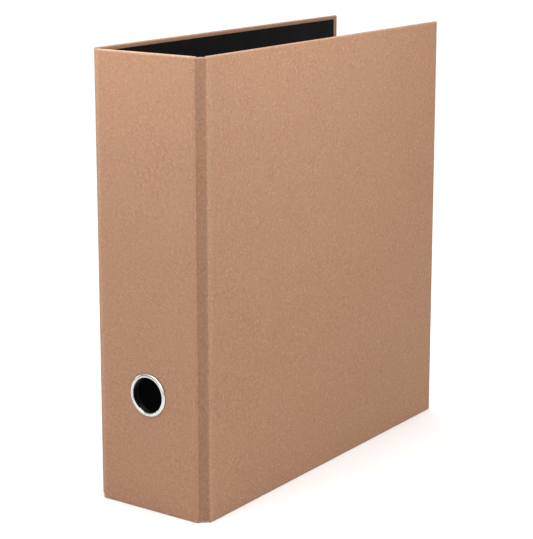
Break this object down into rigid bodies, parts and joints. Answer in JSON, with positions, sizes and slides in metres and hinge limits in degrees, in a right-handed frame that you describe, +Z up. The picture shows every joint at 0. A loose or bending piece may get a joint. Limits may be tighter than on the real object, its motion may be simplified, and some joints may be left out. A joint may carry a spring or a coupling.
{
  "type": "lever arch album",
  "caption": "Upright kraft-paper lever arch album with a black lining, a metal finger ring low on the spine, hinged covers and a two-post lever arch mechanism inside.",
  "frame": {"origin": "bottom centre of the closed case, on the surface it stands on", "axes": "+X from the back cover to the front cover, +Y from the spine to the open side, +Z up"},
  "size_m": [0.0973, 0.3055, 0.318],
  "materials": {
    "kraft_paper": "uncoated natural kraft paper with fine fibre fleck",
    "lining_paper": "matt black lining paper",
    "greyboard": "raw recycled greyboard",
    "polished_nickel": "bright nickel plate",
    "plated_sheet": "satin nickel-plated pressed steel",
    "black_plastic": "black moulded plastic, fine texture"
  },
  "bodies": {
    "spine": {"spine_board": "greyboard", "spine_cover_paper": "kraft_paper", "spine_lining": "lining_paper", "front_groove_paper": "kraft_paper", "front_groove_lining": "lining_paper", "back_groove_paper": "kraft_paper", "back_groove_lining": "lining_paper", "finger_ring": "polished_nickel", "finger_ring_washer": "polished_nickel"},
    "front_cover": {"front_board": "greyboard", "front_cover_paper": "kraft_paper", "front_lining": "lining_paper"},
    "back_cover": {"back_board": "greyboard", "back_cover_paper": "kraft_paper", "back_lining": "lining_paper", "base_plate": "plated_sheet", "base_rivets": "polished_nickel", "lower_post": "polished_nickel", "upper_post": "polished_nickel", "lever_pin": "polished_nickel"},
    "arches": {"arch_wire": "polished_nickel"},
    "lever": {"lever": "plated_sheet", "lever_grip": "black_plastic", "roller_pin": "polished_nickel"},
    "roller": {"roller": "polished_nickel"},
    "compressor": {"compressor_bar": "plated_sheet", "compressor_bushes": "black_plastic"}
  },
  "joints": [
    {"name": "front_cover_hinge", "type": "hinge", "parent": "spine", "child": "front_cover", "pos_m": [0.0451, -0.149, 0.159], "axis": [0, 0, -1], "range_deg": [0, 165], "deforming": ["front_groove_paper", "front_groove_lining"]},
    {"name": "back_cover_hinge", "type": "hinge", "parent": "spine", "child": "back_cover", "pos_m": [-0.0451, -0.149, 0.159], "axis": [0, 0, 1], "range_deg": [0, 165], "deforming": ["back_groove_paper", "back_groove_lining"]},
    {"name": "lever_pivot", "type": "hinge", "parent": "back_cover", "child": "lever", "pos_m": [-0.0349, -0.1001, 0.159], "axis": [0, 0, -1], "range_deg": [0, 66]},
    {"name": "arch_pivot", "type": "hinge", "parent": "back_cover", "child": "arches", "pos_m": [-0.0389, -0.1061, 0.159], "axis": [0, 0, -1], "range_deg": [0, 38]},
    {"name": "roller_spin", "type": "hinge", "parent": "lever", "child": "roller", "pos_m": [-0.0349, -0.0891, 0.159], "axis": [0, 0, 1], "continuous": true},
    {"name": "compressor_slide", "type": "slide", "parent": "back_cover", "child": "compressor", "axis": [1, 0, 0], "range_m": [0, 0.042]}
  ],
  "couplings": [
    {"joint": "arch_pivot", "follows": "lever_pivot", "ratio": 0.575}
  ]
}
